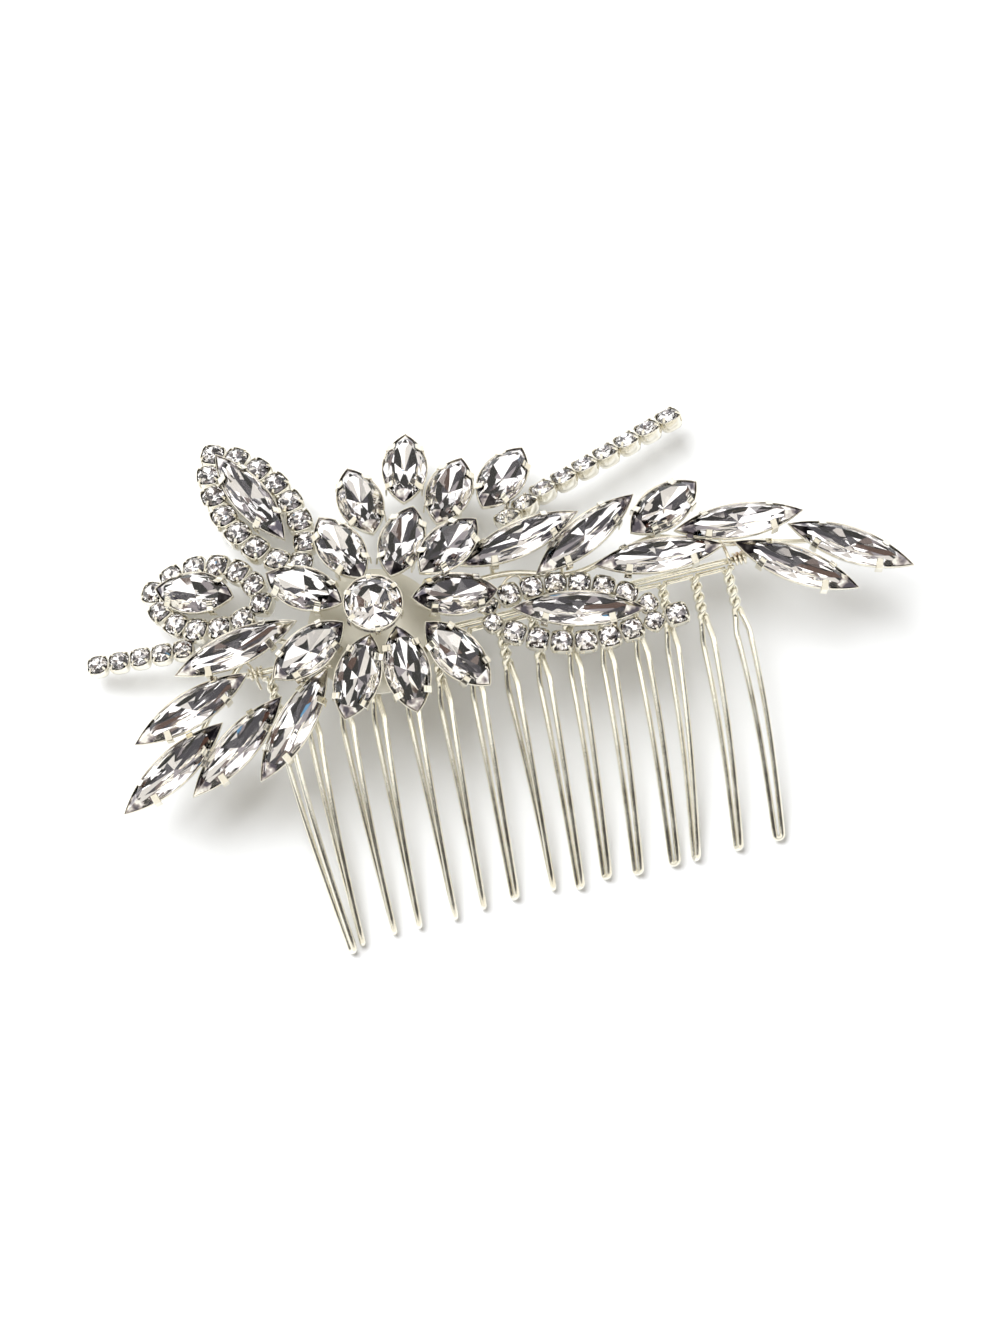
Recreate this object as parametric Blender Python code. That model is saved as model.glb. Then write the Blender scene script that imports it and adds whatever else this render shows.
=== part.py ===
"""Rhinestone hair comb lying on a table: a twisted-wire comb that carries a flower, two sprays, three
bordered leaves and two loose strips of set crystals.

Lengths are millimetres and angles are degrees: everything is a child of one empty, whose scale of
MM turns its millimetres into metres.
The comb lies in the world frame, whose origin is on the table, z = 0, in the middle of the comb's
footprint: +Z is up, the spine runs along X, and the teeth point to -Y and slope down to the table.
The ornament has its own frame: the same X, its origin on the spine's centre, and its rear tilted
down by ORNAMENT_TILT. Every crystal has its long axis on local X and its table facing local +Z,
with its girdle, its widest outline, at local z = 0. Placements are written as the ornament frame's
x, y and height, then the heading of local X and how far it slopes down.
"""

from math import asin, cos, pi, radians, sin

import bmesh
import bpy
from mathutils import Euler, Matrix, Vector

MM = 0.001

# The spine's centre, seen from the middle of the footprint.
SPINE_X = -0.552
SPINE_Y = 2.002
SPINE_HEIGHT = 8.58

# Comb: one wire bent into hairpin teeth, and a straight spine wire behind it.
SPINE_HALF_LENGTH = 29.6
SPINE_RADIUS = 0.4
WIRE_RADIUS = 0.35
WIRE_BEHIND_SPINE = 0.82
TOOTH_COUNT = 15
TOOTH_PITCH = 3.87
TOOTH_REACH = 32.2
UNEVEN_REACHES = {0: 33.2, 1: 32.6, 5: 31.8, 6: 31.6, 7: 31.6, 9: 31.8}
TIP_HEIGHT = 0.48
NECK_SHARE = 0.16
NECK_TURNS = 2
STRAND_OFFSET = 0.42
LEG_GAP_TOP = 1.6
LEG_GAP_TIP = 0.9
WIRE_END = 0.8
TOOTH_ARCH = 0.6
# Teeth bow sideways in proportion to how far they stand from the straight one.
TOOTH_BOW = 0.08
STRAIGHT_TOOTH = 6
TOOTH_LEAN = (2.1, -0.5, -0.5, -1.4, -1, -1.4, -1.5, -0.8, -1.6, -2.2, -2.4, -1.9, -3.2, -2, -1)
# How far each tooth's loop is turned out of the comb's plane, below the neck and at the tip.
LOOP_TURNS_TOP = (40,) * 14 + (5,)
LOOP_TURNS_TIP = (65, 90, 90, 90, 90, 90, 60, 90, 60, 47, 39, 27, 64, 53, 5)
# Shares of a tooth: where its legs part below the neck, start to close in, end, and turn at the tip.
LEGS_PART = NECK_SHARE + 0.07
LEGS_NARROW = 0.6
LEGS_END = 0.96
TIP_TURN = 0.99
TIP_NARROWING = 0.7

# Ornament.
ORNAMENT_TILT = 12
PETAL_STONE = (10.0, 5.0)
LONG_STONE = (15.0, 4.0)
CROWN_HEIGHT = 1.0
GIRDLE_HALF = 0.06
PAVILION_DEPTH = 1.35
TABLE_SHARE = (0.62, 0.5)
CULET_SHARE = 0.35
FIT_GAP = 0.06
CUP_WALL = 0.2
CUP_DEPTH = 1.8
CUP_BASE_SHARE = 0.72
PRONG_WIDTH = 0.7
PRONG_REACH = 0.6
PRONG_THICKNESS = 0.22
PRONG_LEAN = 0.35
PRONG_SHOULDER = 0.4
PRONG_CLEARANCE = 1.6 * FIT_GAP
PRONG_PLACES = (0.25, 0.75)

CENTER_STONE_RADIUS = 3.2
CENTER_STONE_HEIGHT = 9.4
FLOWER_CENTER = (-14.2, 1.3)
FLOWER_SIDES = 16
INNER_PETAL_SLOPE = 13
OUTER_PETAL_SLOPE = 15
# Petals: (azimuth about the flower's centre, distance from it, heading of the outer tip, height).
INNER_PETALS = (
    (142, 8.7, 138, 5.4),
    (100, 9.3, 107, 5.4),
    (57, 9.8, 61, 5.4),
    (31, 12.0, 36, 5.8),
    (2, 9.6, -3, 5.55),
    (320, 10.6, 303, 5.4),
    (286, 7.5, 270, 5.4),
    (242, 7.6, 239, 5.4),
    (195, 8.5, 202, 5.4),
)
OUTER_PETALS = ((82, 15.8, 94, 2.2), (66, 20.1, 75, 2.2), (49, 19.0, 59, 2.2), (38, 24.0, 48, 1.4))

# Sprays: (x, y, height, heading, slope, stone, the stem point its branch starts from).
LEFT_SPRAY = (
    (-30.2, 2.6, 2.5, -172, 10, LONG_STONE, 0),
    (-36.7, -2.8, 1.0, -163, 9, LONG_STONE, 1),
    (-40.3, -8.7, -0.7, -152, 10, LONG_STONE, 2),
    (-32.7, -8.4, 0.5, -146, 10, LONG_STONE, 2),
    (-25.9, -8.0, 2.1, -134, 8, LONG_STONE, 1),
)
LEFT_STEM = ((-23, 2, 2.0), (-26, -1.5, 1.2), (-31, -5, -0.4))
RIGHT_SPRAY = (
    (4.4, 7.1, 3.9, 13, 2, LONG_STONE, 0),
    (11.9, 5.9, 3.6, 28, 3, LONG_STONE, 1),
    (21.6, 7.1, 3.1, 27, 5, PETAL_STONE, 2),
    (19.5, 1.3, 3.5, -3, 4, LONG_STONE, 2),
    (29.6, 3.5, 2.7, -3, 4, LONG_STONE, 3),
    (34.8, -3.0, 1.4, -34, 6, LONG_STONE, 4),
    (41.6, -1.9, 0.9, -32, 5, LONG_STONE, 4),
)
RIGHT_STEM = ((-1, 5, 1.4), (8, 4.5, 1.2), (16, 4.2, 1.0), (25, 3.5, 0.6), (32.5, 1.0, -0.6))
STEM_RADIUS = 0.6
BRANCH_RADIUS = 0.45
BRANCH_FOOT = 0.22
BRANCH_SINK = 0.25

# Leaves: (name, x, y, height, heading, slope, stone, crystals in its border, whether that has a tail).
LEAVES = (
    ("rear", -24.2, 20.7, 2.15, 110, 13, LONG_STONE, 14, False),
    ("side", -33.1, 11.2, 0.8, 150, 22, PETAL_STONE, 12, False),
    ("front", 8.9, -2.8, 3.5, -14, 1, LONG_STONE, 17, True),
)
BORDER_GROWTH = (1.8, 0.7)
BORDER_CORNER = 1.3
BORDER_SHIFT = -1.1
BORDER_DROP = 1.0
BORDER_TAIL = [Vector((9.1, -1.3)), Vector((12.4, -0.2))]

# Strips of cup chain: (name, height of the first crystal, slope, roll, corners, crystals, pitch).
STRIPS = (
    ("rear", 1.7, 2.5, -35, ((4.0, 11.1), (8.8, 14.2), (25.8, 19.9)), 9, 2.92),
    ("side", -1.3, 12, 10, ((-35.9, 5.6), (-45.8, 7.0)), 5, 2.55),
)
CUP_HALF = 1.25
CUP_CORNER = 0.6
LINK_HALF_WIDTH = 0.5
CHATON_BASE = -1.55
CHATON_TOP = 0.6
CHATON_TABLE_SHARE = 0.55
LINK_TOP = -0.7

# Thin wire that ties the ornament on: (x of the first turn, turns, whether it holds both wires).
BINDINGS = (
    ("left", -29.4, 3, False),
    ("middle_left", -14.2, 3, True),
    ("middle_right", 9.05, 3, True),
    ("right", 28.1, 3, False),
)
BINDING_RADIUS = 0.16
BINDING_PITCH = 0.42
BINDING_STEPS = 10
# The coil is a polygon, made this much taller so that its flats clear the wire inside.
BINDING_HEIGHTENING = 1.12

SILVER = ("silver_plate", (0.86, 0.84, 0.79), 0.18, 1.0)
WARM_WIRE = ("binding_wire", (0.80, 0.68, 0.55), 0.25, 1.0)
CRYSTAL = ("crystal", (0.85, 0.85, 0.88), 0.05, 0.0)


def clear_scene():
    for existing in list(bpy.data.objects):
        bpy.data.objects.remove(existing)


def material(name, color, roughness, metallic):
    found = bpy.data.materials.get(name)
    if found:
        return found
    made = bpy.data.materials.new(name)
    made.use_nodes = True
    shader = made.node_tree.nodes["Principled BSDF"]
    shader.inputs["Base Color"].default_value = (*color, 1)
    shader.inputs["Roughness"].default_value = roughness
    shader.inputs["Metallic"].default_value = metallic
    made.diffuse_color = (*color, 1)
    return made


def mesh(name, points, faces, finish):
    """A mesh in triangles, so that each of its faces is truly flat, all of them facing out."""
    made = bpy.data.meshes.new(name)
    made.from_pydata(points, [], faces)
    made.materials.append(material(*finish))
    edit = bmesh.new()
    edit.from_mesh(made)
    bmesh.ops.triangulate(edit, faces=edit.faces)
    bmesh.ops.recalc_face_normals(edit, faces=edit.faces)
    edit.to_mesh(made)
    edit.free()
    return made


def frame_of(location, heading=0.0, slope=0.0, roll=0.0):
    """Placement of a piece whose local X points along heading and dips by slope."""
    turn = Euler((radians(roll), radians(slope), radians(heading)), "XYZ").to_matrix().to_4x4()
    return Matrix.Translation(location) @ turn


def place(name, data, parent=None, placement=None):
    made = bpy.data.objects.new(name, data)
    bpy.context.scene.collection.objects.link(made)
    made.parent = parent
    made.matrix_local = placement or Matrix.Identity(4)
    return made


def rings(loops, closed=False):
    """Faces that join equal loops of points in turn, ended by flat caps or closed into a ring."""
    count = len(loops)
    size = len(loops[0])
    points = [p for loop in loops for p in loop]
    faces = []
    for i in range(count if closed else count - 1):
        a = i * size
        b = (i + 1) % count * size
        for j in range(size):
            k = (j + 1) % size
            faces.append((a + j, a + k, b + k, b + j))
    if not closed:
        faces.append(tuple(reversed(range(size))))
        faces.append(tuple(range((count - 1) * size, count * size)))
    return points, faces


def tube(path, radius, sides):
    """A round bar along a path, whose rings turn as little as they can from one point to the next."""
    path = [Vector(p) for p in path]
    steps = [(b - a).normalized() for a, b in zip(path, path[1:])]
    across = steps[0].orthogonal().normalized()
    loops = []
    for i, point in enumerate(path):
        before = steps[max(i - 1, 0)]
        after = steps[min(i, len(steps) - 1)]
        along = (before + after).normalized()
        across = (across - along * across.dot(along)).normalized()
        up = along.cross(across)
        turn = (2 * pi * j / sides for j in range(sides))
        loops.append([point + (across * cos(a) + up * sin(a)) * radius for a in turn])
    return rings(loops)


# Crystals and their settings.


def navette_arc(length, width):
    """Radius and half angle of each of the two arcs that make a pointed oval."""
    radius = (length**2 / 4 + width**2 / 4) / width
    return radius, asin(length / 2 / radius)


def navette(length, width, shares):
    """A pointed oval, counter-clockwise from its +X tip, with points at these shares of each arc."""
    radius, half_angle = navette_arc(length, width)
    upper = []
    for share in shares:
        angle = half_angle * (1 - 2 * share)
        upper.append((radius * sin(angle), radius * cos(angle) - radius + width / 2))
    return upper + [(-x, -y) for x, y in upper]


def setting_shares(size):
    """Where the outline has points: the tip, both edges of each prong, and the middle."""
    radius, half_angle = navette_arc(*size)
    half = PRONG_WIDTH / (2 * half_angle * radius) / 2
    first, second = PRONG_PLACES
    return (0, first - half, first + half, 0.5, second - half, second + half)


def level(outline, z, share_x=1.0, share_y=1.0):
    return [Vector((x * share_x, y * share_y, z)) for x, y in outline]


def navette_stone(size):
    """A pointed oval crystal: keel, girdle, crown facets and flat table."""
    outline = navette(*size, setting_shares(size))
    return rings([
        level(outline, -PAVILION_DEPTH, CULET_SHARE, CULET_SHARE / 2),
        level(outline, -GIRDLE_HALF),
        level(outline, GIRDLE_HALF),
        level(outline, CROWN_HEIGHT, *TABLE_SHARE),
    ])


def crown_rise(size, inward):
    """Height of the crown's surface this far in from the middle of the crystal's side."""
    run = size[1] / 2 * (1 - TABLE_SHARE[1])
    return GIRDLE_HALF + (CROWN_HEIGHT - GIRDLE_HALF) * inward / run


def navette_cup(size):
    """An open setting round a pointed oval crystal, with prongs folded over the crown."""
    shares = setting_shares(size)
    inner = navette(size[0] + 2 * FIT_GAP, size[1] + 2 * FIT_GAP, shares)
    outer = navette(size[0] + 2 * (FIT_GAP + CUP_WALL), size[1] + 2 * (FIT_GAP + CUP_WALL), shares)
    seat = -GIRDLE_HALF - FIT_GAP
    floor = -PAVILION_DEPTH - FIT_GAP
    points, faces = rings([
        level(inner, floor, CULET_SHARE + 0.06, CULET_SHARE / 2 + 0.1),
        level(inner, seat),
        level(inner, GIRDLE_HALF),
        level(outer, GIRDLE_HALF),
        level(outer, -CUP_DEPTH, CUP_BASE_SHARE, CUP_BASE_SHARE),
    ])
    sides = len(inner)
    rim_in, rim_out = 2 * sides, 3 * sides
    for start in (1, 4, 7, 10):
        end = start + 1
        under_prong = {rim_in + start, rim_in + end, rim_out + start, rim_out + end}
        faces = [f for f in faces if set(f) != under_prong]
        base = len(points)
        for i in (start, end):
            edge = Vector(points[rim_in + i])
            inward = Vector((-edge.x * PRONG_LEAN, -edge.y, 0)).normalized()
            tip = edge + inward * PRONG_REACH
            tip.z = crown_rise(size, PRONG_REACH - FIT_GAP) + PRONG_CLEARANCE
            top = Vector(points[rim_out + i])
            top.z += PRONG_SHOULDER
            points += [top, tip + Vector((0, 0, PRONG_THICKNESS)), tip]
        a = (rim_out + start, base, base + 1, base + 2, rim_in + start)
        b = (rim_out + end, base + 3, base + 4, base + 5, rim_in + end)
        faces += [a, b]
        faces += [(a[k], a[k + 1], b[k + 1], b[k]) for k in range(4)]
    return points, faces


def circle(radius, sides, z):
    turn = [2 * pi * i / sides for i in range(sides)]
    return [Vector((radius * cos(a), radius * sin(a), z)) for a in turn]


def turned(profile, sides=FLOWER_SIDES):
    """A turned piece from (radius, z) pairs, bottom first."""
    return rings([circle(radius, sides, z) for radius, z in profile])


def center_stone():
    girdle = CENTER_STONE_RADIUS
    return turned(((0.4, -2.2), (girdle, -GIRDLE_HALF), (girdle, GIRDLE_HALF), (1.9, 1.15)))


def center_cup():
    """The raised round setting, on a short post that stands on the back plate."""
    inner = CENTER_STONE_RADIUS + FIT_GAP
    outer = inner + CUP_WALL
    outside = [(1.2, -4.8), (1.2, -2.9), (outer - 0.6, -1.9), (outer, -0.6), (outer, 0.35)]
    inside = [(inner, 0.35), (inner, -GIRDLE_HALF - FIT_GAP), (0.6, -2.35)]
    return turned(outside + inside)


def back_plate():
    """A low domed plate under the petals, flat below, so that it lies on the spine wire."""
    return turned(((6.0, 0.95), (7.8, 1.3), (7.4, 1.7), (3.4, 2.9), (2.6, 3.1)))


# Cup chain.


def walk(corners, distance):
    """Point and direction at this distance along a line of corners."""
    for i, (a, b) in enumerate(zip(corners, corners[1:])):
        step = Vector(b) - Vector(a)
        if distance <= step.length or i == len(corners) - 2:
            return Vector(a) + step.normalized() * distance, step.normalized()
        distance -= step.length


def line_length(corners):
    return sum((Vector(b) - Vector(a)).length for a, b in zip(corners, corners[1:]))


def chaton_section(middle, along, half_width, rim, top):
    side = Vector((-along.y, along.x, 0))
    table = half_width * CHATON_TABLE_SHARE
    outline = ((half_width, CHATON_BASE), (half_width, rim), (table, top),
               (-table, top), (-half_width, rim), (-half_width, CHATON_BASE))
    return [middle + side * across + Vector((0, 0, z)) for across, z in outline]


def cup_chain(corners, count, pitch, closed=False):
    """A flat chain of small set crystals along a line of corners, as one bar that swells at each cup."""
    loops = []
    for unit in range(count):
        center = unit * pitch
        for offset in (-CUP_HALF, -CUP_CORNER, CUP_CORNER, CUP_HALF):
            at = center + offset
            if closed:
                at %= line_length(corners)
            middle, along = walk(corners, at)
            middle = Vector((middle.x, middle.y, 0))
            along = Vector((along.x, along.y, 0))
            if abs(offset) == CUP_HALF:
                loops.append(chaton_section(middle, along, LINK_HALF_WIDTH, LINK_TOP - 0.2, LINK_TOP))
            else:
                loops.append(chaton_section(middle, along, CUP_HALF, 0, CHATON_TOP))
    return rings(loops, closed)


def arc(center, radius, first, last, steps=16):
    """Points along an arc about center, from one angle to another in radians."""
    angles = (first + (last - first) * i / steps for i in range(steps + 1))
    return [Vector((center[0] + radius * cos(a), center[1] + radius * sin(a))) for a in angles]


def border_line(size, tail):
    """Centre line of a leaf's border: a pointed oval with round ends, from the middle of its outer end.

    With a tail it starts beside the outer end instead, and runs on past it."""
    length = size[0] + BORDER_GROWTH[0]
    width = size[1] + BORDER_GROWTH[1]
    radius, half_angle = navette_arc(length, width)
    long_arc = radius + BORDER_CORNER
    middle = radius - width / 2
    upper = arc((0, -middle), long_arc, pi / 2 - half_angle, pi / 2 + half_angle)
    inner_end = arc((-length / 2, 0), BORDER_CORNER, pi / 2 + half_angle, 3 * pi / 2 - half_angle)
    lower = arc((0, middle), long_arc, 3 * pi / 2 - half_angle, 3 * pi / 2 + half_angle)
    outer_end = arc((length / 2, 0), BORDER_CORNER, half_angle - pi / 2, pi / 2 - half_angle)
    round_sides = upper[:-1] + inner_end[:-1] + lower[:-1]
    middle_of_end = len(outer_end) // 2
    if tail:
        line = round_sides + BORDER_TAIL
    else:
        line = outer_end[middle_of_end:-1] + round_sides + outer_end[:middle_of_end + 1]
    return [corner + Vector((BORDER_SHIFT, 0)) for corner in line]


# Comb.


def tooth_axis(index, share):
    """A tooth's middle line in the comb's frame, from the spine at 0 to the tip at 1."""
    reach = UNEVEN_REACHES.get(index, TOOTH_REACH)
    x = (index - (TOOTH_COUNT - 1) / 2) * TOOTH_PITCH + TOOTH_LEAN[index] * share
    y = -WIRE_BEHIND_SPINE - (reach - WIRE_BEHIND_SPINE - WIRE_RADIUS) * share
    drop = (SPINE_HEIGHT - TIP_HEIGHT) * share
    bend = sin(pi * share)
    return Vector((x + TOOTH_BOW * (index - STRAIGHT_TOOTH) * bend, y, TOOTH_ARCH * bend - drop))


def strand_point(index, share, side, gap):
    """One of a tooth's two strands: wound about the other in the neck, then a leg of the loop."""
    turn_top = LOOP_TURNS_TOP[index]
    turn_tip = LOOP_TURNS_TIP[index]
    neck = min(share / NECK_SHARE, 1)
    leg = max(share - NECK_SHARE, 0) / (1 - NECK_SHARE)
    turn = radians(neck * (360 * NECK_TURNS + turn_top) + leg * (turn_tip - turn_top))
    reach = Vector((cos(turn), 0, sin(turn))) * gap * side
    return tooth_axis(index, share) + reach


def tooth(index):
    """The wire's path down one strand of a tooth, round its tip, and up the other strand."""
    neck_steps = 6 * NECK_TURNS + 1
    down = [(NECK_SHARE * i / neck_steps, STRAND_OFFSET) for i in range(neck_steps + 1)]
    down += [(LEGS_PART, LEG_GAP_TOP / 2), (LEGS_NARROW, LEG_GAP_TOP / 2), (LEGS_END, LEG_GAP_TIP / 2)]
    path = [strand_point(index, share, -1, gap) for share, gap in down]
    path += [strand_point(index, TIP_TURN, side, LEG_GAP_TIP / 2 * TIP_NARROWING) for side in (-1, 1)]
    path += [strand_point(index, share, 1, gap) for share, gap in reversed(down)]
    return path


def comb_wire_path():
    reach = (TOOTH_COUNT - 1) / 2 * TOOTH_PITCH + WIRE_END
    path = [Vector((-reach, -WIRE_BEHIND_SPINE, 0))]
    for index in range(TOOTH_COUNT):
        path += tooth(index)
    return path + [Vector((reach, -WIRE_BEHIND_SPINE, 0))]


def binding_path(first_x, turns, both_wires):
    """A close coil about the spine wire, or about the spine wire and the tooth wire together."""
    clear = BINDING_RADIUS + 0.06
    tall = SPINE_RADIUS + clear
    back = tall
    front = -WIRE_BEHIND_SPINE - WIRE_RADIUS - clear if both_wires else -tall
    path = []
    for i in range(turns * BINDING_STEPS + 1):
        angle = 2 * pi * i / BINDING_STEPS
        y = (back + front) / 2 + (back - front) / 2 * cos(angle)
        path.append((first_x + BINDING_PITCH * i / BINDING_STEPS, y, tall * BINDING_HEIGHTENING * sin(angle)))
    return path


# Assembly.


def build_comb(frame):
    spine = tube([(-SPINE_HALF_LENGTH, 0, 0), (SPINE_HALF_LENGTH, 0, 0)], SPINE_RADIUS, 8)
    place("comb_spine_wire", mesh("spine_wire", *spine, SILVER), frame)
    place("comb_tooth_wire", mesh("tooth_wire", *tube(comb_wire_path(), WIRE_RADIUS, 4), SILVER), frame)
    for name, first_x, turns, both_wires in BINDINGS:
        coil = tube(binding_path(first_x, turns, both_wires), BINDING_RADIUS, 4)
        place(f"binding_wire_{name}", mesh(f"binding_{name}", *coil, WARM_WIRE), frame)


def build_flower(frame, stones, cups):
    flower = place("flower", None, frame, frame_of((*FLOWER_CENTER, 0)))
    place("flower_back_plate", mesh("back_plate", *back_plate(), SILVER), flower)
    raised = frame_of((0, 0, CENTER_STONE_HEIGHT))
    place("flower_center_cup", mesh("center_cup", *center_cup(), SILVER), flower, raised)
    place("stone_flower_center", mesh("center_stone", *center_stone(), CRYSTAL), flower, raised)
    petals = [("inner", i, *petal, INNER_PETAL_SLOPE) for i, petal in enumerate(INNER_PETALS, 1)]
    petals += [("outer", i, *petal, OUTER_PETAL_SLOPE) for i, petal in enumerate(OUTER_PETALS, 1)]
    for ring, number, azimuth, distance, heading, height, slope in petals:
        x = distance * cos(radians(azimuth))
        y = distance * sin(radians(azimuth))
        placement = frame_of((x, y, height), heading, slope)
        place(f"petal_cup_{ring}_{number}", cups[PETAL_STONE], flower, placement)
        place(f"stone_petal_{ring}_{number}", stones[PETAL_STONE], flower, placement)


def build_spray(name, frame, spray, stem, stones, cups):
    """Crystals and one brazed frame: a stem, a branch to each setting, and the settings."""
    base = place(f"{name}_spray_frame", mesh("stem", *tube(stem, STEM_RADIUS, 6), SILVER), frame)
    for number, (x, y, height, heading, slope, size, node) in enumerate(spray, 1):
        placement = frame_of((x, y, height), heading, slope)
        place(f"stone_{name}_spray_{number}", stones[size], frame, placement)
        foot = placement @ Vector((-size[0] * BRANCH_FOOT, 0, BRANCH_SINK - CUP_DEPTH))
        branch = mesh("branch", *tube([stem[node], foot], BRANCH_RADIUS, 6), SILVER)
        for data, where in ((branch, Matrix.Identity(4)), (cups[size], placement)):
            join(base, place(f"{name}_spray_part", data, frame, where))


def join(base, part):
    """Base grows by part, which stays as a guide only."""
    part.hide_render = True
    part.display_type = "WIRE"
    union = base.modifiers.new(part.name, "BOOLEAN")
    union.operation = "UNION"
    union.object = part
    union.solver = "EXACT"


def build_leaf(frame, stones, cups, name, x, y, height, heading, slope, size, count, tail):
    leaf = place(f"leaf_{name}", None, frame, frame_of((x, y, height), heading, slope))
    place(f"leaf_{name}_cup", cups[size], leaf)
    place(f"stone_leaf_{name}", stones[size], leaf)
    line = border_line(size, tail)
    pitch = line_length(line) / (count - 1 if tail else count)
    border = cup_chain(line, count, pitch, closed=not tail)
    below = frame_of((0, 0, -BORDER_DROP))
    place(f"leaf_{name}_border_chain", mesh("border", *border, SILVER), leaf, below)


def build_strip(frame, name, height, slope, roll, corners, count, pitch):
    start = Vector(corners[0])
    along = Vector(corners[-1]) - Vector(corners[-2])
    heading = along.angle_signed(Vector((1, 0)))
    turned_back = Matrix.Rotation(-heading, 2)
    line = [turned_back @ (Vector(c) - start) for c in corners]
    chain = cup_chain(line, count, pitch)
    placement = frame_of((*start, height), heading * 180 / pi, slope, roll)
    place(f"strip_chain_{name}", mesh("strip", *chain, SILVER), frame, placement)


def main():
    clear_scene()
    spine_center = frame_of((SPINE_X, SPINE_Y, SPINE_HEIGHT))
    comb = place("comb", None, None, Matrix.Scale(MM, 4) @ spine_center)
    build_comb(comb)
    ornament = place("ornament", None, comb, Matrix.Rotation(radians(-ORNAMENT_TILT), 4, "X"))
    sizes = (PETAL_STONE, LONG_STONE)
    stones = {size: mesh("navette_stone", *navette_stone(size), CRYSTAL) for size in sizes}
    cups = {size: mesh("navette_cup", *navette_cup(size), SILVER) for size in sizes}
    build_flower(ornament, stones, cups)
    build_spray("left", ornament, LEFT_SPRAY, LEFT_STEM, stones, cups)
    build_spray("right", ornament, RIGHT_SPRAY, RIGHT_STEM, stones, cups)
    for leaf in LEAVES:
        build_leaf(ornament, stones, cups, *leaf)
    for strip in STRIPS:
        build_strip(ornament, *strip)


main()
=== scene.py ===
"""Looks for the rhinestone hair comb: fine cut crystals, their settings, cup chain and twisted wire,
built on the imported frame. Lengths are millimetres in the code and become metres in each mesh."""

from math import asin, cos, pi, radians, sin

import bmesh
import bpy
from mathutils import Matrix, Vector


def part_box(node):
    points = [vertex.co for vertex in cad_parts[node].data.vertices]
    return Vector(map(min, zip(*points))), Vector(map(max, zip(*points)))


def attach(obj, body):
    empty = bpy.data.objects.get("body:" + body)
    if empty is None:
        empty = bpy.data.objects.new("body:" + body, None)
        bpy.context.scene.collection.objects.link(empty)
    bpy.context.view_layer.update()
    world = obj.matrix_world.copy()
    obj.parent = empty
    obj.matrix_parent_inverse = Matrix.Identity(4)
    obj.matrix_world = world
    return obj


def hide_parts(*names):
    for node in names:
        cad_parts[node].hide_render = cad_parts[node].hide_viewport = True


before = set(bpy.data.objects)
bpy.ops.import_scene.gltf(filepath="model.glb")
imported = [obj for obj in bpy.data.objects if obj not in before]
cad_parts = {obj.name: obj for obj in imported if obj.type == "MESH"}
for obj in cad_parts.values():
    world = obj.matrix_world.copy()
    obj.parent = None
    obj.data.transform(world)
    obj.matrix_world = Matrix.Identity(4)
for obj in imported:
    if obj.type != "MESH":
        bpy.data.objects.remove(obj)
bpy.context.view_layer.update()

MM = 0.001

# Crystals. The pointed ovals have two stock sizes, as (length, width). Shares are of the outline's
# half size, and levels are of the crown's height or the pavilion's depth.
LONG_STONE = (15.0, 4.0)
PETAL_STONE = (10.0, 5.0)
CROWN_HEIGHT = 1.0
GIRDLE_HALF = 0.06
PAVILION_DEPTH = 1.35
TABLE_SHARE = (0.72, 0.62)
CUT_SIDES = 8
STAR_LEVEL = 0.5
STAR_SHIFT = 0.03
HALVES_SHARE = 0.78
HALVES_LEVEL = 0.3

# Settings.
CUP_GAP = 0.06
CUP_WALL = 0.14
CUP_RIM = 0.16
CUP_DEPTH = 1.8
CUP_BASE_SHARE = 0.72
CUP_FLOOR = -PAVILION_DEPTH - 0.2
CUP_STEPS = 20
PRONG_WIDTH = 0.9
PRONG_THICKNESS = 0.2
PRONG_TAPER = 0.85
PRONG_REACH = 0.68
PRONG_PLACES = (0.25, 0.75)
PRONG_CLEAR = 0.05

# Flower. Profiles are (radius, height), and a prong's path is (inward, height).
CENTER_RADIUS = 3.2
CENTER_TABLE = 0.6
CENTER_CROWN = 1.15
CENTER_PAVILION = 2.2
CENTER_CUP_PROFILE = (
    (1.2, -4.8), (1.2, -2.9), (2.8, -1.9), (3.38, -0.7), (3.45, 0.25),
    (3.41, 0.32), (3.32, 0.32), (3.27, 0.25), (3.27, -0.2), (0.6, -2.4),
)
CENTER_PRONGS = 6
CENTER_PRONG_PATH = ((-0.12, -1.0), (-0.12, 0.1), (-0.06, 0.35), (0.15, 0.5), (0.4, 0.6), (0.6, 0.68))
CENTER_PRONG_WIDTH = 0.7
CENTER_PRONG_THICKNESS = 0.15
CENTER_PRONG_RADIUS = 3.3
CENTER_PRONG_START = 0.3
PLATE_PROFILE = (
    (6.0, -1.05), (7.5, -0.85), (7.75, -0.7), (7.72, -0.55),
    (7.3, -0.35), (5.6, 0.3), (3.4, 0.9), (2.6, 1.1),
)

# Cup chain. Each crystal is turned by CHATON_TURN degrees from the one before it.
CHATON_PITCH = 2.85
CHATON_TOP = 0.6
CHATON_RADIUS = 1.27
CHATON_TABLE = 0.46
CHATON_CROWN = 0.55
CHATON_PAVILION = 0.24
CHATON_SIDES = 6
CHATON_TURN = 37
CHATON_CUP_BASE = -1.5
CHATON_CUP_PROFILE = (
    (0.7, -1.3), (1.24, -0.3), (1.3, 0.05), (1.34, 0.08),
    (1.39, 0.04), (1.39, -0.9), (1.2, CHATON_CUP_BASE + 0.12), (1.05, CHATON_CUP_BASE),
)
CHATON_CUP_STEPS = 24
CHATON_SQUARENESS = 3.2
CLAWS = 4
CLAW_PATH = ((-0.14, -0.7), (-0.12, 0.05), (-0.02, 0.25), (0.16, 0.36), (0.34, 0.42))
CLAW_WIDTH = 0.42
CLAW_THICKNESS = 0.14
CLAW_TAPER = 0.6
CLAW_RADIUS = 1.36

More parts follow.
